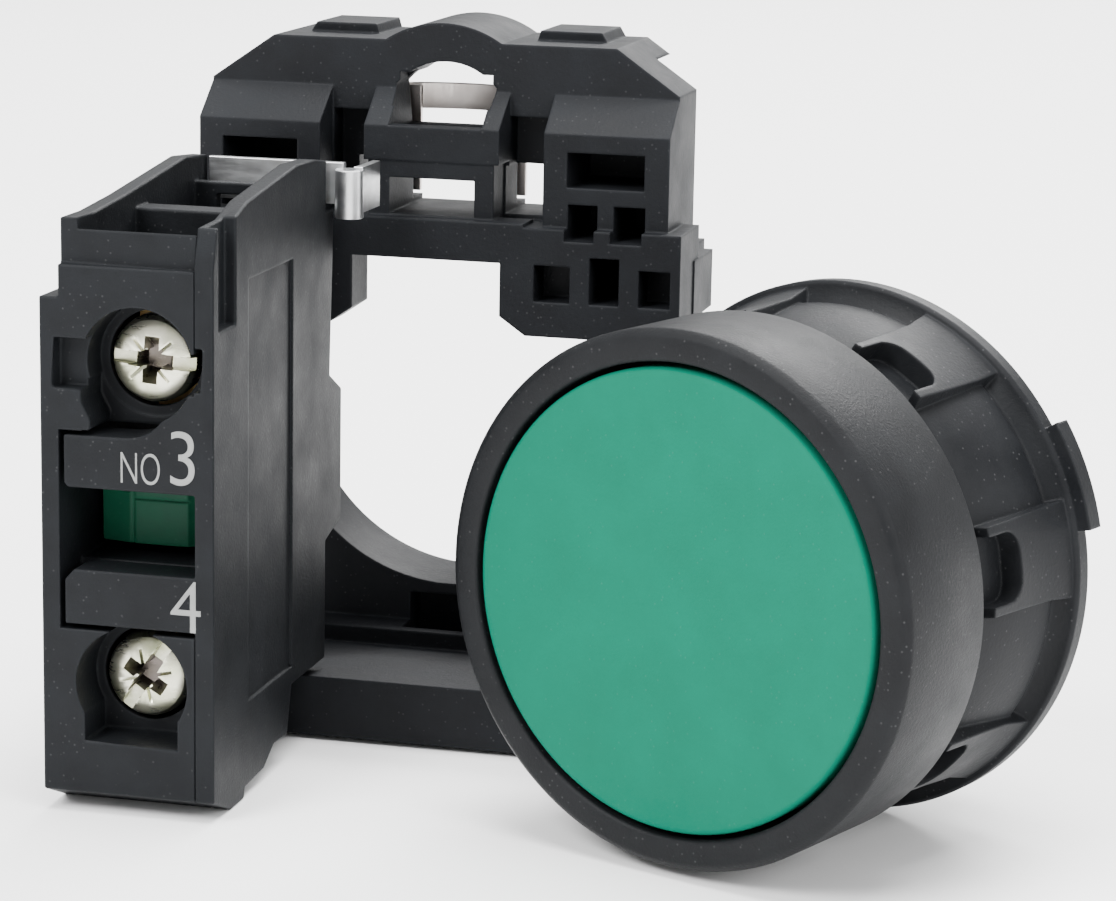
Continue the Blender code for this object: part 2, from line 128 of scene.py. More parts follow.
def turned(profile, steps=96):
    # closed outline of radius and depth, swept about Y by a Screw
    bm = bmesh.new()
    verts = [bm.verts.new((radius, depth, 0)) for radius, depth in profile]
    for i, vert in enumerate(verts):
        after = verts[(i + 1) % len(verts)]
        if vert.co.x > 0 or after.co.x > 0:
            bm.edges.new((vert, after))
    obj = fromBmesh(bm, "turned")
    screw = obj.modifiers.new("sweep", "SCREW")
    screw.axis = "Y"
    screw.steps = screw.render_steps = steps
    screw.use_merge_vertices = True
    screw.merge_threshold = seamGap
    applyStack(obj)
    bm = bmesh.new()
    bm.from_mesh(obj.data)
    bmesh.ops.remove_doubles(bm, verts=bm.verts, dist=seamGap)
    bmesh.ops.recalc_face_normals(bm, faces=bm.faces)
    bm.to_mesh(obj.data)
    bm.free()
    return obj


def moved(obj, x, y, z):
    obj.data.transform(Matrix.Translation((x, y, z)))
    return obj


def spun(obj, degrees):
    # turned about Y, the depth axis
    obj.data.transform(Matrix.Rotation(math.radians(degrees), 4, "Y"))
    return obj


def combine(obj, operation, helpers):
    for helper in helpers:
        boolean = obj.modifiers.new(helper.name, "BOOLEAN")
        boolean.operation = operation
        boolean.object = helper
        boolean.solver = "EXACT"
    applyStack(obj)
    for helper in helpers:
        bpy.data.objects.remove(helper)
    return obj


def cut(obj, *helpers):
    return combine(obj, "DIFFERENCE", helpers)


def join(obj, *helpers):
    return combine(obj, "UNION", helpers)


def arc(middle, radius, start, end, steps=8):
    turns = [math.radians(start + (end - start) * i / steps) for i in range(steps + 1)]
    return [(middle[0] + radius * math.cos(a), middle[1] + radius * math.sin(a)) for a in turns]


def circle(middle, radius, steps=48):
    return arc(middle, radius, 0, 360, steps)[:-1]


def reach(middle, side, near, far):
    # low and high end of a stretch that lies on one side of a middle
    return sorted((middle + side * near, middle + side * far))


def chooseEdges(bm, room, sharp, outward):
    # a rounded edge folds over itself beside a short one, so only edges with room at both ends are chosen
    rounded = bm.edges.layers.float.new("bevel_weight_edge")
    for edge in bm.edges:
        if not edge.is_manifold or edge.calc_face_angle() <= sharp:
            continue
        if outward and not edge.is_convex:
            continue
        lengths = [near.calc_length() for corner in edge.verts for near in corner.link_edges]
        if min(lengths) > room:
            edge[rounded] = 1.0


def finishPiece(
    obj, name, place, body, material, edge, room=2.5, sharp=28, outward=False, replaced=()
):
    # tidies the mesh, puts it in place, rounds its edges and hands it to its body
    # room is how many edge widths long each neighbour of a rounded edge must at least be
    bm = bmesh.new()
    bm.from_mesh(obj.data)
    bmesh.ops.remove_doubles(bm, verts=bm.verts, dist=mergeGap)
    if edge:
        bmesh.ops.dissolve_limit(bm, angle_limit=math.radians(flatAngle), verts=bm.verts, edges=bm.edges)
        bm.normal_update()
        chooseEdges(bm, edge * room, math.radians(sharp), outward)
    bm.to_mesh(obj.data)
    bm.free()
    obj.data.transform(place @ Matrix.Scale(mm, 4))
    obj.name = obj.data.name = name
    obj.data.materials.clear()
    obj.data.materials.append(material)
    obj.data.shade_smooth()
    obj.data.set_sharp_from_angle(angle=math.radians(sharp))
    if edge:
        bevel = obj.modifiers.new("rounded edges", "BEVEL")
        bevel.width = edge * mm
        bevel.segments = 2
        bevel.limit_method = "WEIGHT"
        bevel.use_clamp_overlap = False
        bevel.harden_normals = True
        bevel.miter_outer = "MITER_ARC"
    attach(obj, body)
    if replaced:
        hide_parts(*replaced)
    return obj


# materials

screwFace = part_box("terminal_screw_upper")[0].y  # front of the screw heads


def mouldedPlastic(name, colour, lighter, grain, height, roughness, flecks, shine=0.1):
    # filled nylon: fine spark-eroded grain, faint flow mottling, pale glass flecks, and edges painted
    # paler, partly rubbed wear and partly a painted highlight
    material = bpy.data.materials.new(name)
    material.use_nodes = True
    tree = material.node_tree
    nodes, links = tree.nodes, tree.links
    nodes.clear()

    surface = nodes.new("ShaderNodeBsdfPrincipled")
    surface.label = "plastic surface"
    surface.location = (900, 0)
    surface.inputs["IOR"].default_value = 1.52
    surface.inputs["Specular IOR Level"].default_value = shine
    output = nodes.new("ShaderNodeOutputMaterial")
    output.label = "output"
    output.location = (1180, 0)

    place = nodes.new("ShaderNodeTexCoord")
    place.label = "place on the piece"
    place.location = (-1100, 0)

    colourFrame = nodes.new("NodeFrame")
    colourFrame.label = "colour and flecks"
    grainFrame = nodes.new("NodeFrame")
    grainFrame.label = "moulded grain"

    mottle = nodes.new("ShaderNodeTexNoise")
    mottle.label = "flow mottling"
    mottle.location = (-820, 320)
    mottle.parent = colourFrame
    mottle.inputs["Scale"].default_value = 260.0
    mottle.inputs["Detail"].default_value = 5.0
    mottle.inputs["Roughness"].default_value = 0.62

    mottleRamp = nodes.new("ShaderNodeValToRGB")
    mottleRamp.label = "mottled tone"
    mottleRamp.location = (-560, 320)
    mottleRamp.parent = colourFrame
    mottleRamp.color_ramp.elements[0].position = 0.34
    mottleRamp.color_ramp.elements[0].color = (*colour, 1)
    mottleRamp.color_ramp.elements[1].position = 0.72
    mottleRamp.color_ramp.elements[1].color = (*lighter, 1)

    fleck = nodes.new("ShaderNodeTexVoronoi")
    fleck.label = "glass flecks"
    fleck.location = (-820, 60)
    fleck.parent = colourFrame
    fleck.inputs["Scale"].default_value = 2100.0
    fleck.inputs["Randomness"].default_value = 1.0

    fleckRamp = nodes.new("ShaderNodeValToRGB")
    fleckRamp.label = "only the fleck centres"
    fleckRamp.location = (-560, 60)
    fleckRamp.parent = colourFrame
    fleckRamp.color_ramp.elements[0].position = 0.05
    fleckRamp.color_ramp.elements[0].color = (flecks, flecks, flecks, 1)
    fleckRamp.color_ramp.elements[1].position = 0.16
    fleckRamp.color_ramp.elements[1].color = (0, 0, 0, 1)

    fleckMix = nodes.new("ShaderNodeMix")
    fleckMix.label = "flecks over tone"
    fleckMix.data_type = "RGBA"
    fleckMix.blend_type = "SCREEN"
    fleckMix.location = (-240, 240)
    fleckMix.parent = colourFrame
    fleckMix.inputs[0].default_value = 1.0

    rounded = nodes.new("ShaderNodeBevel")
    rounded.label = "rounded normal"
    rounded.location = (-820, -120)
    rounded.samples = 4
    rounded.inputs["Radius"].default_value = 0.00022

    shape = nodes.new("ShaderNodeNewGeometry")
    shape.label = "true normal"
    shape.location = (-820, -300)

    edgeDot = nodes.new("ShaderNodeVectorMath")
    edgeDot.label = "how far the edge turns"
    edgeDot.operation = "DOT_PRODUCT"
    edgeDot.location = (-560, -160)

    # edges are painted paler: partly rubbed wear, partly a painted highlight
    edgeWearAndHighlight = nodes.new("ShaderNodeMapRange")
    edgeWearAndHighlight.label = "rubbed wear and painted highlight"
    edgeWearAndHighlight.location = (-340, -160)
    edgeWearAndHighlight.inputs["From Min"].default_value = 0.99
    edgeWearAndHighlight.inputs["From Max"].default_value = 0.8
    edgeWearAndHighlight.inputs["To Max"].default_value = 0.3

    edgeHighlightMix = nodes.new("ShaderNodeMix")
    edgeHighlightMix.label = "painted highlight along edges"
    edgeHighlightMix.data_type = "RGBA"
    edgeHighlightMix.location = (120, 160)
    # the edge colour is the lighter tone raised 2.6 times: partly rubbed wear, partly a painted highlight
    # along every edge
    edgeHighlightMix.inputs[7].default_value = (*[min(1.0, tone * 2.6 + 0.006) for tone in lighter], 1)

    fine = nodes.new("ShaderNodeTexNoise")
    fine.label = "spark-eroded grain"
    fine.location = (-820, -520)
    fine.parent = grainFrame
    fine.inputs["Scale"].default_value = grain
    fine.inputs["Detail"].default_value = 3.0
    fine.inputs["Roughness"].default_value = 0.7

    roughRange = nodes.new("ShaderNodeMapRange")
    roughRange.label = "uneven gloss"
    roughRange.location = (120, -160)
    roughRange.inputs["From Min"].default_value = 0.3
    roughRange.inputs["From Max"].default_value = 0.7
    roughRange.inputs["To Min"].default_value = roughness - 0.07
    roughRange.inputs["To Max"].default_value = roughness + 0.08

    bump = nodes.new("ShaderNodeBump")
    bump.label = "grain relief"
    bump.location = (420, -480)
    bump.parent = grainFrame
    bump.inputs["Strength"].default_value = 1.0
    bump.inputs["Distance"].default_value = height

    links.new(place.outputs["Object"], mottle.inputs["Vector"])
    links.new(place.outputs["Object"], fleck.inputs["Vector"])
    links.new(place.outputs["Object"], fine.inputs["Vector"])
    links.new(mottle.outputs["Fac"], mottleRamp.inputs["Fac"])
    links.new(fleck.outputs["Distance"], fleckRamp.inputs["Fac"])
    links.new(mottleRamp.outputs["Color"], fleckMix.inputs[6])
    links.new(fleckRamp.outputs["Color"], fleckMix.inputs[7])
    links.new(rounded.outputs["Normal"], edgeDot.inputs[0])
    links.new(shape.outputs["Normal"], edgeDot.inputs[1])
    links.new(edgeDot.outputs["Value"], edgeWearAndHighlight.inputs["Value"])
    links.new(edgeWearAndHighlight.outputs["Result"], edgeHighlightMix.inputs[0])
    links.new(fleckMix.outputs[2], edgeHighlightMix.inputs[6])
    links.new(edgeHighlightMix.outputs[2], surface.inputs["Base Color"])
    links.new(mottle.outputs["Fac"], roughRange.inputs["Value"])
    links.new(roughRange.outputs["Result"], surface.inputs["Roughness"])
    links.new(fine.outputs["Fac"], bump.inputs["Height"])
    links.new(rounded.outputs["Normal"], bump.inputs["Normal"])
    links.new(bump.outputs["Normal"], surface.inputs["Normal"])
    links.new(surface.outputs["BSDF"], output.inputs["Surface"])
    return material


def platedMetal(name, colour, tint, patches, streak, height, roughness, recessShadeStrength=0.0):
    # plated or drawn metal: cloudy tint from passivation, fine drawing lines, and painted shade on whatever
    # lies deeper than the screw face
    material = bpy.data.materials.new(name)
    material.use_nodes = True
    tree = material.node_tree
    nodes, links = tree.nodes, tree.links
    nodes.clear()

    surface = nodes.new("ShaderNodeBsdfPrincipled")
    surface.label = "metal surface"
    surface.location = (760, 0)
    surface.inputs["Metallic"].default_value = 1.0
    output = nodes.new("ShaderNodeOutputMaterial")
    output.label = "output"
    output.location = (1040, 0)
    place = nodes.new("ShaderNodeTexCoord")
    place.label = "place on the piece"
    place.location = (-980, 0)

    tintFrame = nodes.new("NodeFrame")
    tintFrame.label = "passivation tint and painted shade"
    lineFrame = nodes.new("NodeFrame")
    lineFrame.label = "drawing lines"

    cloud = nodes.new("ShaderNodeTexNoise")
    cloud.label = "cloudy film"
    cloud.location = (-700, 260)
    cloud.parent = tintFrame
    cloud.inputs["Scale"].default_value = patches
    cloud.inputs["Detail"].default_value = 4.0
    cloud.inputs["Distortion"].default_value = 0.6

    tone = nodes.new("ShaderNodeValToRGB")
    tone.label = "plating to tint"
    tone.location = (-420, 260)
    tone.parent = tintFrame
    tone.color_ramp.elements[0].position = 0.42
    tone.color_ramp.elements[0].color = (*colour, 1)
    tone.color_ramp.elements[1].position = 0.74
    tone.color_ramp.elements[1].color = (*tint, 1)

    split = nodes.new("ShaderNodeSeparateXYZ")
    split.label = "depth below the face"
    split.location = (-420, 560)
    split.parent = tintFrame

    # from 0.5 to 1.2 mm behind the screw face the plating is mixed towards near black: painted shade in the
    # cross recess and down the well
    recessShadeMask = nodes.new("ShaderNodeMapRange")
    recessShadeMask.label = "painted shade in the recess"
    recessShadeMask.location = (-160, 560)
    recessShadeMask.parent = tintFrame
    recessShadeMask.inputs["From Min"].default_value = screwFace + 0.5 * mm
    recessShadeMask.inputs["From Max"].default_value = screwFace + 1.2 * mm
    recessShadeMask.inputs["To Max"].default_value = recessShadeStrength

    recessShadeMix = nodes.new("ShaderNodeMix")
    recessShadeMix.label = "painted shade over plating"
    recessShadeMix.data_type = "RGBA"
    recessShadeMix.location = (120, 320)
    recessShadeMix.parent = tintFrame
    # near-black colour of the painted shade
    recessShadeMix.inputs[7].default_value = (0.05, 0.035, 0.04, 1)

    stretch = nodes.new("ShaderNodeMapping")
    stretch.label = "long thin lines"
    stretch.location = (-760, -160)
    stretch.parent = lineFrame
    stretch.inputs["Scale"].default_value = streak

    lines = nodes.new("ShaderNodeTexNoise")
    lines.label = "drawn lines"
    lines.location = (-520, -160)
    lines.parent = lineFrame
    lines.inputs["Scale"].default_value = 1.0
    lines.inputs["Detail"].default_value = 3.0

    gloss = nodes.new("ShaderNodeMapRange")
    gloss.label = "gloss along the lines"
    gloss.location = (-180, -80)
    gloss.inputs["To Min"].default_value = roughness - 0.1
    gloss.inputs["To Max"].default_value = roughness + 0.14

    bump = nodes.new("ShaderNodeBump")
    bump.label = "line relief"
    bump.location = (360, -260)
    bump.parent = lineFrame
    bump.inputs["Strength"].default_value = 0.7
    bump.inputs["Distance"].default_value = height

    links.new(place.outputs["Object"], cloud.inputs["Vector"])
    links.new(place.outputs["Object"], stretch.inputs["Vector"])
    links.new(stretch.outputs["Vector"], lines.inputs["Vector"])
    links.new(cloud.outputs["Fac"], tone.inputs["Fac"])
    links.new(place.outputs["Object"], split.inputs["Vector"])
    links.new(split.outputs["Y"], recessShadeMask.inputs["Value"])
    links.new(recessShadeMask.outputs["Result"], recessShadeMix.inputs[0])
    links.new(tone.outputs["Color"], recessShadeMix.inputs[6])
    links.new(recessShadeMix.outputs[2], surface.inputs["Base Color"])
    links.new(lines.outputs["Fac"], gloss.inputs["Value"])
    links.new(gloss.outputs["Result"], surface.inputs["Roughness"])
    links.new(lines.outputs["Fac"], bump.inputs["Height"])
    links.new(bump.outputs["Normal"], surface.inputs["Normal"])
    links.new(surface.outputs["BSDF"], output.inputs["Surface"])
    return material


blockPlastic = mouldedPlastic(
    "block plastic", (0.0045, 0.005, 0.006), (0.008, 0.009, 0.0105), 5200, 0.00002, 0.52, 0.02
)
collarPlastic = mouldedPlastic(
    "collar plastic", (0.0055, 0.006, 0.0072), (0.009, 0.01, 0.0118), 4300, 0.000024, 0.54, 0.02
)
bezelPlastic = mouldedPlastic(
    "bezel plastic", (0.005, 0.0054, 0.0062), (0.0085, 0.0092, 0.0102), 5600, 0.00003, 0.5, 0.025
)
nutPlastic = mouldedPlastic(
    "nut plastic", (0.0055, 0.006, 0.007), (0.0095, 0.0102, 0.0115), 4200, 0.00002, 0.48, 0.025
)
capPlastic = mouldedPlastic(
    "cap green plastic", (0.0, 0.1, 0.06), (0.0, 0.112, 0.068), 6500, 0.000008, 0.6, 0.01, 0.06
)
plungerPlastic = mouldedPlastic(
    "plunger green plastic", (0.003, 0.05, 0.026), (0.006, 0.07, 0.036), 3800, 0.000012, 0.36, 0.01
)
rubber = mouldedPlastic(
    "seal rubber", (0.012, 0.012, 0.013), (0.022, 0.022, 0.023), 7000, 0.000012, 0.78, 0.0
)
printInk = mouldedPlastic(
    "grey print", (0.2, 0.205, 0.2), (0.26, 0.265, 0.26), 6000, 0.00001, 0.6, 0.0
)
# the last number sets how dark the painted shade behind the screw face is
screwPlating = platedMetal(
    "passivated screw", (0.7, 0.69, 0.56), (0.34, 0.37, 0.2), 420, (900, 900, 5200), 0.000004, 0.28, 0.9
)
latchSteel = platedMetal(
    "galvanised latch", (0.68, 0.69, 0.7), (0.5, 0.5, 0.5), 600, (700, 4200, 4200), 0.000006, 0.32
)
leafSteel = platedMetal(
    "stainless leaf", (0.66, 0.61, 0.58), (0.5, 0.45, 0.42), 300, (3800, 3800, 500), 0.000005, 0.3
)
wireSteel = platedMetal(
    "spring wire", (0.6, 0.58, 0.56), (0.42, 0.4, 0.38), 500, (3000, 3000, 3000), 0.000003, 0.28
)
stripBrass = platedMetal(
    "contact brass", (0.74, 0.52, 0.23), (0.55, 0.36, 0.16), 350, (800, 4000, 4000), 0.000005, 0.32
)
tipSilver = platedMetal(
    "contact silver", (0.86, 0.86, 0.84), (0.7, 0.68, 0.64), 700, (3000, 3000, 3000), 0.000004, 0.22
)
print("materials made")


# contact block

blockSize = {
    "wall": 1.05,
    "coverInner": 8.9,
    "width": 10.0,
    "seam": 0.02,
    "wellDepth": 4.2,
    "wellRadius": 3.25,
    "ledgeDepth": 3.1,  # front of the narrow ledge around each screw head
    "ledgeRadius": 2.7,
    "upperScrew": (5.6, 25.4),
    "lowerScrew": (5.2, 7.5),
    "middle": 5.3,
    "plungerHeight": 16.4,
}


def blockSide(topFront):
    foot = [(0, 1.2), (2.9, 0), (5.1, 0), (5.3, 0.6), (8.6, 0.75), (10.4, 1.7), (12.8, 1.6), (13.6, 4.4)]
    back = [(19.9, 4.4), (19.9, 11.6), (22.9, 12.4), (22.9, 20.4), (20.6, 21.6), (21.2, 31.6), (21.2, 34.3)]
    return foot + back + topFront


def makeHousing():
    size = blockSize
    side = blockSide([(17.6, 34.6), (7.5, 33.6), (3.2, 33.3), (0.4, 33.3), (0, 30.8)])
    shell = extrusion(side, "X", 0, size["coverInner"] - size["seam"])
    hollow = [
        (3.6, 3.4), (12.0, 3.4), (12.6, 5.6), (18.9, 5.6), (18.9, 12.7), (21.8, 13.4),
        (21.8, 19.5), (19.4, 20.8), (19.6, 28.5), (3.6, 28.5),
    ]  # fmt: skip
    wellDepth, radius, ledge = size["wellDepth"], size["wellRadius"], size["ledgeDepth"]
    wells = []
    for level in ("upperScrew", "lowerScrew"):
        wells.append(extrusion(circle(size[level], radius), "Y", -1, ledge))
        wells.append(extrusion(circle(size[level], size["ledgeRadius"]), "Y", -1, wellDepth))
    cut(
        shell,
        extrusion(hollow, "X", size["wall"], 12),
        block((-1, -1, 29.0), (1.1, 30, 36)),
        block((1.0, -1, 30.8), (12, 0.45, 36)),
        block((size["wall"], -1, 10.5), (12, 4.0, 21.7)),
        block((2.4, -1, 21), (12, 3.0, 24.4)),
        *wells,
        block((0.75, -1, 24.0), (3.4, 1.1, 26.8)),
        block((7.9, -1, 24.2), (12, ledge, 26.3)),
        block((2.45, -1, 4.1), (7.9, ledge, 7.5)),
    )
    # sloped top: two troughs with a bar between them, and the seat of the latch
    trough = [(1.9, 31.2), (3.4, 30.6), (9.2, 30.6), (9.2, 36), (1.9, 36)]
    cut(
        shell,
        extrusion(trough, "X", 2.1, 12),
        block((2.1, 11.2, 30.1), (12, 18.9, 36)),
        block((2.1, 8.9, 32.7), (12, 11.5, 36)),
        block((2.1, 18.8, 33.0), (12, 19.8, 36)),
        block((3.5, 18.5, 31.4), (7.0, 20.0, 32.3)),
        block((2.1, 19.7, 31.4), (12, 22, 36)),
        block((size["middle"] - 2.4, 20, 14.2), (size["middle"] + 2.4, 24, 18.7)),
        block((3.0, 4.6, 28), (8.2, 7.8, 32)),
        block((2.7, 4.3, -1), (7.7, 7.3, 6)),
    )
    # front lip that falls to the trough in a shallow curve
    lip = [(-1, 33.05), (0.5, 32.7), (1.2, 31.9), (1.95, 31.25), (1.95, 37), (-1, 37)]
    cut(shell, extrusion(lip, "X", 2.1, 12))
    lug = [(0.4, 21.75), (2.9, 21.75), (2.9, 22.3), (2.2, 23.7), (0.4, 23.7)]
    join(
        shell,
        block((3.0, 20.3, 26.3), (4.2, 26.5, 28.5)),
        block((0.8, 10.9, 15.4), (2.6, 11.5, 17.4)),
        block((0.8, 3.2, 13.2), (8.6, 12.2, 13.8)),
        block((0.8, 3.2, 18.7), (8.6, 12.2, 19.3)),
        extrusion(lug, "Y", 0.0, 3.8),
    )
    cut(shell, block((-1, 6.2, 6.0), (0.16, 18.4, 27.8)))  # shallow relief on the outer side
    return finishPiece(
        shell, "housingShell", basePlace, "base", blockPlastic, 0.11, 4,
        replaced=["block_housing"],
    )  # fmt: skip


def makeCover():
    size = blockSize
    side = blockSide([(17.6, 34.8), (14.3, 34.9), (5.7, 33.9), (3.3, 33.2), (0.6, 33.1), (0, 30.9)])
    cover = extrusion(side, "X", size["coverInner"], size["width"])
    rise = arc((4.9, 24.2), 2.75, -8, -90, 8)
    upper = [(1.55, 18.5), (9.5, 18.5), (9.5, 24.0), (7.9, 24.0), *rise, (1.35, 21.42), (1.35, 18.75)]
    lower = [(1.35, 10.8), (9.5, 10.8), (9.5, 13.9), (1.9, 13.9), (1.35, 13.3)]
    join(cover, extrusion(upper, "Y", 0.0, 2.6), extrusion(lower, "Y", 0.0, 2.6))
    panel = [(5.8, 5.5), (13.6, 5.5), (13.6, 29.6), (5.8, 29.6)]
    cut(
        cover,
        extrusion(circle(size["upperScrew"], size["wellRadius"]), "Y", -1, size["ledgeDepth"]),
        block((7.9, -1, 24.2), (9.35, size["ledgeDepth"], 26.6)),
        block((9.3, 0.9, 27.4), (12, 3.7, 36)),
        extrusion(panel, "X", 9.82, 12),
        block((8, 19.7, 31.4), (12, 22, 36)),
    )
    return finishPiece(
        cover, "coverWall", basePlace, "base", blockPlastic, 0.1,
        replaced=["block_side_cover"],
    )  # fmt: skip


def makePrint():
    # generic terminal marks: contact type and terminal numbers
    marks = {
        "NO": {"height": 1.85, "stretch": 0.6, "x": 4.55, "z": 18.95},
        "3": {"height": 3.15, "stretch": 0.92, "x": 7.25, "z": 19.05},
        "4": {"height": 3.05, "stretch": 0.92, "x": 7.45, "z": 10.82},
    }
    capHeight = 0.72  # of the text size
    thinned, thickness, front = -0.03, 0.008, -0.012
    for words, mark in marks.items():
        curve = bpy.data.curves.new("print", "FONT")
        curve.body = words
        curve.size = mark["height"] / capHeight
        curve.extrude = thickness
        curve.offset = thinned
        text = newObject("print", curve)
        bpy.context.view_layer.update()
        mesh = bpy.data.meshes.new_from_object(text)
        bpy.data.objects.remove(text)
        label = newObject("print", mesh)
        mesh.transform(Matrix.Diagonal((mark["stretch"], 1, 1, 1)))
        mesh.transform(Matrix.Rotation(math.radians(90), 4, "X"))
        moved(label, mark["x"], front, mark["z"])
        finishPiece(label, "labelPrint" + words, basePlace, "base", printInk, 0)


def makePlunger():
    # three upright facets, a seam across them, then the stem, push end and spring lug
    front = [
        (1.5, 5.35), (3.35, 4.95), (3.5, 5.05), (3.65, 4.9), (6.75, 4.9),
        (6.95, 5.1), (7.6, 5.3), (7.6, 9.6), (1.5, 9.6),
    ]  # fmt: skip
    body = extrusion(front, "Z", 14.4, 18.1)
    cut(body, block((3.6, 4.0, 16.9), (7.0, 5.0, 17.02)), block((1.0, 4.0, 17.3), (3.3, 5.25, 17.4)))
    middle, stem, centre = blockSize["middle"], 1.2, blockSize["plungerHeight"]
    join(
        body,
        block((middle - stem, 9.0, centre - stem), (middle + stem, 21.0, centre + stem)),
        block((middle - 2.0, 20.6, 14.6), (middle + 2.0, 24.4, 18.3)),
        block((1.4, 20.8, 15.4), (3.6, 21.5, 17.4)),
    )
    finishPiece(
        body, "plungerSlider", basePlace, "plunger", plungerPlastic, 0.12,
        replaced=["plunger"],
    )  # fmt: skip


screwSize = {
    "face": 2.2,
    "head": 2.45,
    "back": 3.9,
    "shank": 1.65,
    "crest": 1.62,
    "root": 1.28,
    "end": 11.5,
    "plainEnd": 0.6,
    "pitch": 0.6,
    "slotHalf": 0.36,
    "armHalf": 0.42,
    "tickHalf": 0.09,
    "turn": {"upper": 4.0, "lower": -57.0},
}


def makeScrews():
    size = screwSize
    crest, root, head, back = size["crest"], size["root"], size["head"], size["back"]
    for level in ("upper", "lower"):
        x, z = blockSize[level + "Screw"]
        dome = [(0.0, size["face"]), (1.0, 2.21), (1.75, 2.3), (2.2, 2.52), (2.4, 2.85), (head, 3.2)]
        thread = []
        turns = int((size["end"] - size["plainEnd"] - back) / size["pitch"])
        for i in range(turns):
            start = back + 0.2 + i * size["pitch"]
            thread += [(crest, start), (root, start + 0.25), (root, start + 0.35), (crest, start + 0.55)]
        tail = [(1.3, size["end"] - 0.1), (1.0, size["end"]), (0.0, size["end"])]
        screw = turned(dome + [(head, back), (size["shank"], back)] + thread + tail, steps=64)
        slot = block((-3, 1, -size["slotHalf"]), (3, 2.95, size["slotHalf"]))
        arm = [(-1.35, 1.0), (1.35, 1.0), (1.3, 2.4), (0.65, 3.75), (-0.65, 3.75), (-1.3, 2.4)]
        tick = [(0.55, 1.0), (1.55, 1.0), (1.55, 2.32), (0.55, 2.9)]
        arms = [spun(extrusion(arm, "Z", -size["armHalf"], size["armHalf"]), turn) for turn in (0, 90)]
        for turn in (45, 135, 225, 315):
            arms.append(spun(extrusion(tick, "Z", -size["tickHalf"], size["tickHalf"]), turn))
        cut(screw, slot, *arms)
        spun(screw, size["turn"][level])
        moved(screw, x, 0, z)
        finishPiece(
            screw, "terminalScrew" + level.title(), basePlace, "screw_" + level, screwPlating, 0.03,
            replaced=["terminal_screw_" + level],
        )  # fmt: skip


latchSize = {
    "left": 2.4,
    "low": 31.85,
    "high": 34.3,
    "roll": (11.2, 20.35),
    "rollRadius": 0.85,
    "rollBore": 0.4,
}


def makeLatch():
    # folded strip: flat bar over the block, rolled tab on its right end and a tail that runs back
    size = latchSize
    bar = [(size["left"], 20.6), (10.75, 20.6), (10.75, 21.1), (size["left"], 21.1)]
    sheet = extrusion(bar, "Z", size["low"], size["high"])
    roll = extrusion(circle(size["roll"], size["rollRadius"], 40), "Z", 31.1, 33.95)
    cut(roll, extrusion(circle(size["roll"], size["rollBore"], 24), "Z", 33.3, 35))
    tail = extrusion([(11.4, 20.5), (11.95, 20.6), (12.0, 23.9), (11.5, 24.0)], "Z", 31.4, 34.1)
    join(sheet, roll, tail)
    cut(sheet, block((2.0, 20.0, 31.0), (2.9, 22.0, 32.5)))
    finishPiece(
        sheet, "latchStrip", basePlace, "latch", latchSteel, 0.05,
        replaced=["latch_clip"],
    )  # fmt: skip


def makeCoil(name, place, body, node, radius, wire, start, end, turns, middle):
    # round wire wound about Y, with its end turns closed up
    steps, closing = 28, 0.06
    curve = bpy.data.curves.new(name, "CURVE")
    curve.dimensions = "3D"
    curve.bevel_depth = wire
    curve.bevel_resolution = 3
    curve.use_fill_caps = True
    count = turns * steps
    spline = curve.splines.new("POLY")
    spline.points.add(count)
    for i, point in enumerate(spline.points):
        share = i / count
        angle = math.tau * turns * share
        ease = share - closing * math.sin(math.tau * share)
        depth = start + wire + (end - start - 2 * wire) * ease
        point.co = (middle[0] + radius * math.cos(angle), depth, middle[1] + radius * math.sin(angle), 1)
    coil = newObject(name, curve)
    bpy.context.view_layer.update()
    mesh = bpy.data.meshes.new_from_object(coil)
    bpy.data.objects.remove(coil)
    wound = newObject(name, mesh)
    finishPiece(wound, name, place, body, wireSteel, 0, sharp=50, replaced=[node])


makeHousing()
makeCover()
makePrint()
makePlunger()
makeScrews()
makeLatch()
stemMiddle = (blockSize["middle"], blockSize["plungerHeight"])
lugMiddle = (2.0, blockSize["plungerHeight"])
makeCoil("contactCoil", basePlace, "plunger", "contact_spring", 2.15, 0.2, 18.4, 20.3, 2, stemMiddle)
makeCoil("plungerCoil", basePlace, "base", "plunger_spring", 0.5, 0.15, 11.8, 16.2, 6, lugMiddle)
# the washers take the screw material; lying deep behind the screw face, they get its painted shade and show
# almost black
for node in ("clamp_washer_upper", "clamp_washer_lower"):
    frame["nodes"][node].data.materials[0] = screwPlating
for node in ("fixed_contact_upper", "fixed_contact_lower", "contact_bridge"):
    frame["nodes"][node].data.materials[0] = stripBrass
for node in ("contact_tip_upper", "contact_tip_lower", "bridge_tip_upper", "bridge_tip_lower"):
    frame["nodes"][node].data.materials[0] = tipSilver
print("contact block made")


# mounting collar

collarSize = {
    "middle": 14.6,
    "boreHeight": 17.9,
    "bore": 11.2,
    "half": 14.6,
    "wall": 28.2,
    "ring": 30.9,
    "back": 36.6,
    "top": 40.9,
    "shoulder": 38.2,
    "chamfer": 3.9,
    "plate": 24.8,
    "arch": 6.5,
    "archTop": 42.0,
}


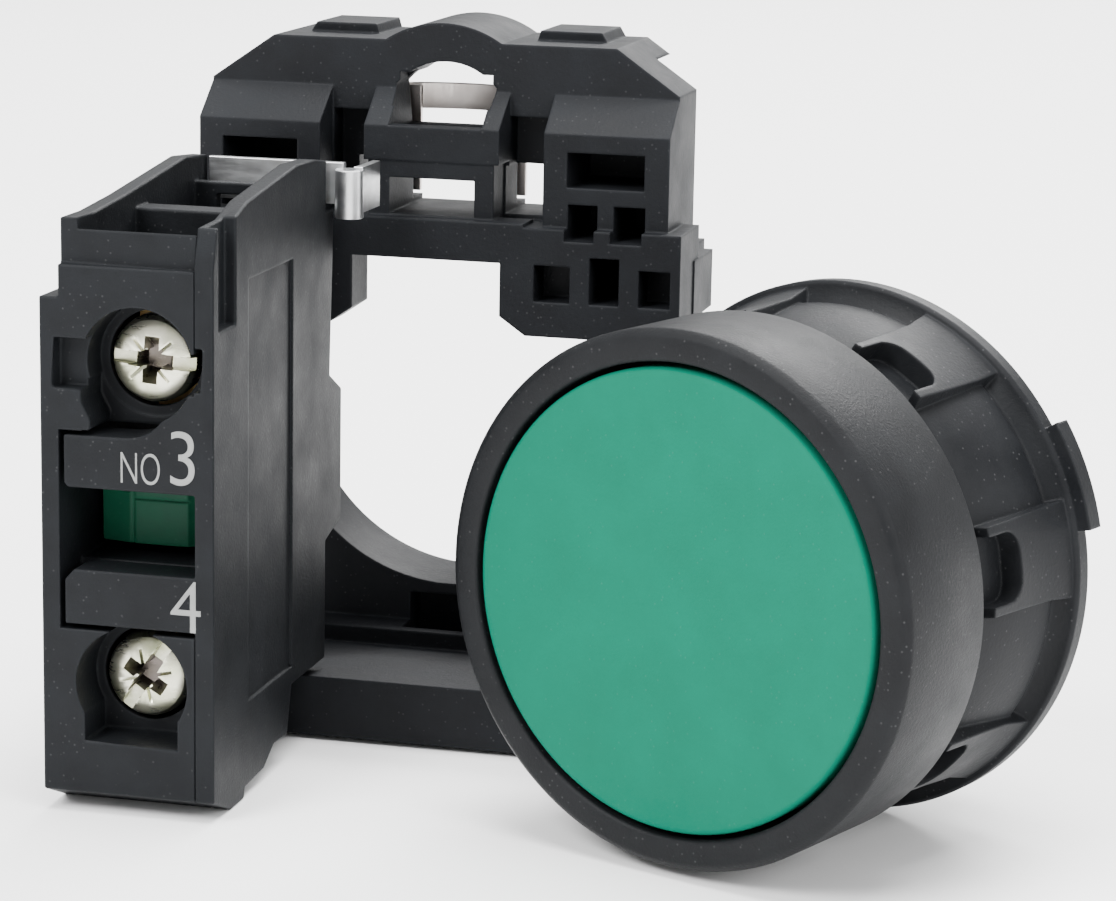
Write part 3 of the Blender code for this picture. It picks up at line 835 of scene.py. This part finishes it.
def makeCollar():
    size = collarSize
    middle = size["middle"]
    left, right = middle - size["half"], middle + size["half"]
    archMiddle = size["archTop"] - size["arch"]
    archStart = math.degrees(math.asin((size["top"] - archMiddle) / size["arch"]))
    wall = [
        (left, 0), (right, 0), (right, size["shoulder"]), (right - size["chamfer"], size["top"]),
        *arc((middle, archMiddle), size["arch"], archStart, 180 - archStart, 24),
        (left + size["chamfer"], size["top"]), (left, size["shoulder"]),
    ]  # fmt: skip
    collar = extrusion(wall, "Y", size["wall"], size["back"])
    cut(collar, block((-5, 33.0, 28.6), (35, 60, 39.9)))
    ledge = [(25.7, 33.9), (29.0, 33.9), (29.0, 38.0), (28.2, 38.0), (25.7, 36.0)]
    tower = [(25.7, 29.9), (29.0, 29.9), (29.0, 38.0), (28.2, 38.0), (25.7, 36.0)]
    shelf = [(17.4, 0), (31.5, 0), (31.5, 2.9), (17.4, 3.9)]
    join(
        collar,
        extrusion(ledge, "X", middle - 4.2, middle + 4.2),
        block((middle - 3.9, 25.75, 29), (middle + 3.9, 28.6, 35)),
        block((8.6, size["plate"], 28.2), (20.6, 27.2, 30.6)),
        extrusion(shelf, "X", left, right),
    )
    for side in (-1, 1):
        tab = [(4.9, 40.5), (9.6, 40.5), (9.0, 41.5), (5.2, 41.5)]
        plate = [(4.6, 30.4), (15.6, 30.4), (15.6, 23.9), (6.2, 23.9), (4.6, 25.0)]
        ends = reach(middle, side, 6.95, size["half"])
        lug = reach(middle, side, 13.0, 15.7)
        join(
            collar,
            extrusion([(middle + side * x, z) for x, z in tab], "Y", 31.4, size["back"] - 0.2),
            extrusion([(middle + side * x, z) for x, z in plate], "Y", size["plate"], 30.0),
            extrusion(tower, "X", *ends),
            block((lug[0], 28.5, 24.9), (lug[1], 33.8, 28.4)),
        )
    windowTop = arc((middle + 0.2, 35.6), 4.1, 40, 140, 16)
    cut(
        collar,
        extrusion(circle((middle, size["boreHeight"]), size["bore"], 96), "Y", 28.0, 60),
        block((-2, 27, 4.2), (32, size["ring"], 23.2)),
        block((7.75, 24, 30.7), (10.4, 30, 36.6)),
        block((18.8, 24, 30.7), (21.45, 30, 36.6)),
        block((12.0, 24, 30.7), (17.3, 60, 32.9)),
        block((8.8, 28, 30.7), (10.6, 60, 33.6)),
        block((18.6, 28, 30.7), (21.2, 60, 33.6)),
        block((11.9, 26.9, 34.7), (17.7, 30, 39)),
        block((11.9, 25, 36.0), (17.7, 30, 39)),
        block((10.0, 31.0, 31.0), (19.2, 34.4, 38.8)),
        extrusion([(11.9, 35.7), (17.7, 35.7), *windowTop], "Y", 27, 60),
        block((12.1, 29, 2.9), (17.1, 33.0, 6.0)),
    )
    # blind sockets of both towers: near and far side, bottom, top and back
    holes = (
        (8.4, 13.1, 32.8, 34.9, 31.6),
        (8.5, 10.3, 29.7, 31.8, 31.6),
        (11.3, 13.2, 29.7, 31.8, 31.6),
        (6.7, 8.9, 26.0, 28.2, 27.2),
        (10.1, 11.9, 26.0, 28.8, 32.0),
        (13.1, 15.0, 26.0, 28.2, 27.2),
    )
    for side in (-1, 1):
        for near, far, low, high, back in holes:
            ends = reach(middle, side, near, far)
            cut(collar, block((ends[0], 20, low), (ends[1], back, high)))
    # small keys at the bottom of the bore, and shallow moulded relief on the flat sides
    join(
        collar,
        extrusion(circle((middle + 1.6, 6.7), 0.9, 24), "Y", size["ring"] + 0.2, size["back"] - 0.2),
        extrusion(circle((middle + 3.6, 7.3), 0.55, 20), "Y", size["ring"] + 0.2, size["back"] - 1.2),
    )
    cut(
        collar,
        block((-2, 32.4, 6.0), (left + 0.18, 34.9, 22.0)),
        block((right - 0.18, 32.4, 6.0), (33, 34.9, 22.0)),
        block((3.0, 17.0, -1), (26.2, 30.0, 0.25)),
        extrusion(circle((middle - 11.9, 6.2), 1.6, 32), "Y", size["back"] - 0.25, 40),
        extrusion(circle((middle + 11.9, 6.2), 1.6, 32), "Y", size["back"] - 0.25, 40),
    )
    finishPiece(
        collar, "collarBody", basePlace, "base", collarPlastic, 0.04, 8,
        replaced=["mounting_collar"],
    )  # fmt: skip


def makeLeaf():
    # stainless leaf: a strip that bows away behind the arch, and a flat leg on each side
    middle = (collarSize["middle"], 26.0)
    outer, thickness = 7.6, 0.35
    bow = arc(middle, outer, 57, 123, 28) + arc(middle, outer - thickness, 123, 57, 28)
    strip = extrusion(bow, "Z", 36.3, 37.9)
    for side in (-1, 1):
        ends = reach(middle[0], side, 2.45, 4.25)
        join(strip, block((ends[0], 32.0, 31.3), (ends[1], 32.4, 37.8)))
    finishPiece(
        strip, "leafSpring", basePlace, "base", leafSteel, 0.06,
        replaced=["collar_lock_spring"],
    )  # fmt: skip


makeCollar()
makeLeaf()
print("collar made")


# operating head: outlines are radius and depth behind the front face

headSize = {
    "bezelOuter": 14.5,
    "bezelInner": 12.75,
    "bezelBack": 8.0,
    "capBack": 2.0,
    "barrel": 11.0,
    "barrelFront": 8.3,
    "barrelEnd": 22.3,
    "threadRoot": 10.62,
    "threadPitch": 1.0,
    "stem": 4.4,
    "stemEnd": 23.6,
    "discFront": 22.7,
    "discBack": 23.9,
    "discWebs": 8,
}


def makeFace():
    # bezel, cap and the two rubber rings
    size = headSize
    outer, inner, back = size["bezelOuter"], size["bezelInner"], size["bezelBack"]
    bezel = turned(
        [(inner, 0.3), *arc((13.0, 0.25), 0.25, 180, 270, 4), (14.0, 0.0), (14.12, 0.04), (14.46, 0.38)]
        + [(outer, 0.5), (outer, 7.5), (14.3, 7.85), (14.0, back), (9.9, back), (9.9, 7.2), (inner, 7.2)],
        steps=144,
    )
    finishPiece(
        bezel, "bezelRing", headPlace, "head", bezelPlastic, 0, sharp=40,
        replaced=["bezel"],
    )  # fmt: skip
    rim = arc((12.1, 0.35), 0.35, -90, 0, 6)
    cap = turned(
        [(0, 0.06), (6.0, 0.04), *rim, (12.45, size["capBack"]), (11.3, size["capBack"]), (11.3, 1.6)]
        + [(5.6, 1.6), (5.6, 4.4), (4.7, 4.4), (4.7, 1.6), (0, 1.6)],
        steps=144,
    )
    finishPiece(
        cap, "capTop", headPlace, "button", capPlastic, 0, sharp=40,
        replaced=["button_cap"],
    )  # fmt: skip
    # the seal has a rounded groove around it, the gasket two small beads
    seal = turned(
        [(8.2, 6.55), *arc((10.4, 6.55), 0.2, 180, 0, 8), (12.3, 6.55), (12.3, 6.9), (8.6, 6.9)]
        + [(8.6, 7.6), (8.2, 7.6)],
        steps=96,
    )
    finishPiece(
        seal, "capSeal", headPlace, "head", rubber, 0, sharp=40,
        replaced=["cap_seal"],
    )  # fmt: skip
    gasket = turned(
        [(11.3, 8.35), *arc((11.9, 8.4), 0.1, 180, 360, 4), *arc((12.8, 8.4), 0.1, 180, 360, 4)]
        + [(13.3, 8.35), (13.4, 8.5), (13.4, 9.1), (13.3, 9.3), (11.3, 9.3)],
        steps=96,
    )
    finishPiece(
        gasket, "panelGasket", headPlace, "head", rubber, 0, sharp=40,
        replaced=["panel_gasket"],
    )  # fmt: skip


def makeBarrel():
    # thread drawn as a row of rings, a key slot and a stepped mouth with four recesses
    size = headSize
    outer, front, end = size["barrel"], size["barrelFront"], size["barrelEnd"]
    ridges = []
    root = size["threadRoot"]
    depth = front + 1.3
    while depth < end - 2.2:
        ridges += [(root, depth), (outer, depth + 0.3), (outer, depth + 0.5), (root, depth + 0.8)]
        depth += size["threadPitch"]
    barrel = turned(
        [(7.6, 7.9), (9.6, 7.9), (9.6, front), (outer, front), (outer, 9.3), *ridges]
        + [(root, end - 1.3), (10.9, end - 1.1), (10.9, end - 0.4), (10.5, end), (4.7, end)]
        + [(4.7, end - 1.2), (7.6, end - 1.2)],
        steps=96,
    )
    recesses = []
    for turn in (20, 110, 200, 290):
        sector = arc((0, 0), 9.6, turn, turn + 50, 12) + arc((0, 0), 8.6, turn + 50, turn, 12)
        recesses.append(extrusion(sector, "Y", end - 0.6, 31))
    cut(barrel, block((-1.1, 18.6, -12), (1.1, 40, -9.9)), *recesses)
    finishPiece(
        barrel, "threadedBarrel", headPlace, "head", nutPlastic, 0.03, 8, sharp=35, outward=True,
        replaced=["head_body"],
    )  # fmt: skip


def makeStem():
    # slotted stem behind the cap, with the disc that reaches the contact block on its end
    size = headSize
    radius, stop = size["stem"], size["stemEnd"]
    stem = turned(
        [(0, 1.9), (radius, 1.9), (radius, 9.0), (7.1, 9.0), (7.3, 9.2), (7.3, 10.2), (radius, 10.2)]
        + [(radius, stop - 0.4), (4.1, stop - 0.05), (3.2, stop), (3.0, stop - 0.5), (0, stop - 0.5)],
        steps=72,
    )
    cut(stem, block((-0.6, stop - 1.4, -3), (0.6, stop + 1, 3)))
    finishPiece(
        stem, "pushStem", headPlace, "button", nutPlastic, 0, sharp=35,
        replaced=["pusher"],
    )  # fmt: skip
    front, back = size["discFront"], size["discBack"]
    disc = turned(
        [(4.7, front), (9.3, front), (9.7, front + 0.4), (9.7, back - 0.3), (9.4, back), (8.8, back)]
        + [(8.6, back - 0.45), (6.2, back - 0.45), (6.0, back), (4.7, back)],
        steps=96,
    )
    webs = []
    for i in range(size["discWebs"]):
        web = block((5.9, back - 0.9, -0.35), (8.9, back, 0.35))
        webs.append(spun(web, 360 * i / size["discWebs"]))
    join(disc, *webs)
    finishPiece(
        disc, "pushDisc", headPlace, "button", nutPlastic, 0.08, sharp=35,
        replaced=["push_disc"],
    )  # fmt: skip


nutSize = {
    "bore": 11.3,
    "front": 9.6,
    "rim": 15.0,
    "rimFront": 17.0,
    "back": 18.2,
    "ribs": 7,
    "firstRib": 8.5,
    "ribSkirt": 1.5,  # degrees that a rib's foot is wider on each side
    "notchHalf": 7.6,  # degrees
    "notchCorner": 1.1,
    "notchFloor": 12.75,
    "pin": 0.62,
}


def makeRib(middle):
    # rises towards the rim
    rings = []
    bm = bmesh.new()
    stages = ((9.65, 9.8, 14.0), (12.6, 10.0, 14.1), (15.2, 10.2, 14.25), (17.2, 10.6, 14.75))
    for depth, half, radius in stages:
        foot = half + nutSize["ribSkirt"]
        outer = arc((0, 0), radius, middle - half, middle + half, 10)
        inner = arc((0, 0), 12.4, middle + foot, middle - foot, 10)
        rings.append([bm.verts.new((x, depth, z)) for x, z in outer + inner])
    bm.faces.new(rings[0])
    bm.faces.new(rings[-1])
    for ring, after in zip(rings, rings[1:]):
        for k in range(len(ring)):
            j = (k + 1) % len(ring)
            bm.faces.new((ring[k], ring[j], after[j], after[k]))
    return fromBmesh(bm, "rib")


def makeNut():
    # ring that flares to its rear rim; each rib holds a rounded notch open to the front
    size = nutSize
    bore, back, rim = size["bore"], size["back"], size["rim"]
    nut = turned(
        [(bore, size["front"]), (12.9, size["front"]), (13.1, 9.85), (13.9, 15.9), (13.65, 16.15)]
        + [(13.75, 16.4), (14.3, 16.75), (14.85, 16.85), (rim, size["rimFront"]), (rim, 17.9)]
        + [(14.8, back), (bore, back)],
        steps=168,
    )
    # D-shaped notch, laid out across the rib and pushed in towards the axis
    across = 14.2 * math.radians(size["notchHalf"])
    corner = size["notchCorner"]
    flat = [(-across, 9.0), (across, 9.0), *arc((across - corner, 11.3), corner, 0, 90, 6)]
    flat += arc((corner - across, 11.3), corner, 90, 180, 6)
    ribs, notches, pins = [], [], []
    for i in range(size["ribs"]):
        middle = size["firstRib"] + 360 * i / size["ribs"]
        ribs.append(makeRib(middle))
        notches.append(spun(extrusion(flat, "Z", size["notchFloor"], 16.0), 90 - middle))
        pins.append(spun(extrusion(circle((0, 14.7), size["pin"], 24), "Z", 14.28, 16.0), 90 - middle))
    # raised sector on the rim
    sector = arc((0, 0), 15.8, 12, 34, 10) + arc((0, 0), 13.5, 34, 12, 10)
    join(nut, *ribs, extrusion(sector, "Y", size["rimFront"], back))
    cut(nut, *notches)
    cut(nut, *pins)
    finishPiece(
        nut, "fixingNut", headPlace, "nut", nutPlastic, 0.04, 4, sharp=32, outward=True,
        replaced=["fixing_nut"],
    )  # fmt: skip


makeFace()
makeBarrel()
makeStem()
makeCoil("returnCoil", headPlace, "head", "return_spring", 6.2, 0.35, 14.8, 20.8, 4, (0, 0))
makeNut()
print("head made")


# studio: pale floor, soft lights and the camera

studio = {
    "aim": basePlace @ (Vector((25.494, 14.75, 19.255)) * mm),
    "azimuth": 13.89,
    "elevation": 11.95,
    "roll": 1.115,
    "distance": 201.0 * mm,
    "lens": 113.8,
    "sensor": 36.0,
    "floorHalf": 1.2,
    "floorGap": 0.00002,
    "air": 1.1,
}


def makeStudio():
    bm = bmesh.new()
    bmesh.ops.create_grid(bm, x_segments=1, y_segments=1, size=studio["floorHalf"])
    floor = fromBmesh(bm, "floor")
    floor.data.transform(Matrix.Translation((0, 0, cadLow.z - studio["floorGap"])))
    paint = bpy.data.materials.new("floor paint")
    paint.use_nodes = True
    tree = paint.node_tree
    shader = tree.nodes["Principled BSDF"]
    shader.label = "pale floor"
    shader.inputs["Roughness"].default_value = 0.9
    place = tree.nodes.new("ShaderNodeTexCoord")
    place.label = "place on the floor"
    place.location = (-800, 0)
    cloud = tree.nodes.new("ShaderNodeTexNoise")
    cloud.label = "faint unevenness"
    cloud.location = (-600, 0)
    cloud.inputs["Scale"].default_value = 6.0
    tone = tree.nodes.new("ShaderNodeValToRGB")
    tone.label = "pale tone"
    tone.location = (-380, 0)
    tone.color_ramp.elements[0].color = (0.86, 0.86, 0.86, 1)
    tone.color_ramp.elements[1].color = (0.9, 0.9, 0.9, 1)
    tree.links.new(place.outputs["Object"], cloud.inputs["Vector"])
    tree.links.new(cloud.outputs["Fac"], tone.inputs["Fac"])
    tree.links.new(tone.outputs["Color"], shader.inputs["Base Color"])
    floor.data.materials.append(paint)

    world = bpy.data.worlds.new("studio air")
    world.use_nodes = True
    air = world.node_tree.nodes["Background"]
    air.inputs["Color"].default_value = (1, 1, 1, 1)
    air.inputs["Strength"].default_value = studio["air"]
    scene.world = world

    lights = {
        "key": {"from": (-0.35, -0.55, 0.6), "size": 0.4, "power": 11.0},
        "side": {"from": (0.65, -0.35, 0.4), "size": 0.45, "power": 4.5},
        "back": {"from": (0.1, 0.7, 0.65), "size": 0.6, "power": 15.0},
        "top": {"from": (0.05, 0.0, 0.9), "size": 0.7, "power": 20.0},
    }
    for name, light in lights.items():
        lamp = bpy.data.lights.new(name, "AREA")
        lamp.shape = "DISK"
        lamp.size = light["size"]
        lamp.energy = light["power"]
        obj = newObject(name + " light", lamp)
        obj.location = light["from"]
        obj.rotation_euler = (-Vector(light["from"])).to_track_quat("-Z", "Y").to_euler()


def makeCamera():
    azimuth, elevation, roll = (math.radians(studio[key]) for key in ("azimuth", "elevation", "roll"))
    level = math.cos(elevation)
    back = Vector((math.sin(azimuth) * level, -math.cos(azimuth) * level, math.sin(elevation)))
    right = (-back).cross(Vector((0, 0, 1))).normalized()
    up = right.cross(-back)
    turnedRight = right * math.cos(roll) + up * math.sin(roll)
    turnedUp = up * math.cos(roll) - right * math.sin(roll)
    data = bpy.data.cameras.new("camera")
    data.lens = studio["lens"]
    data.sensor_width = studio["sensor"]
    data.clip_start = 0.01
    data.clip_end = 10.0
    camera = newObject("camera", data)
    rotation = Matrix((turnedRight, turnedUp, back)).transposed()
    camera.matrix_world = Matrix.Translation(studio["aim"] + back * studio["distance"]) @ rotation.to_4x4()
    scene.camera = camera


makeStudio()
makeCamera()
print("studio made")
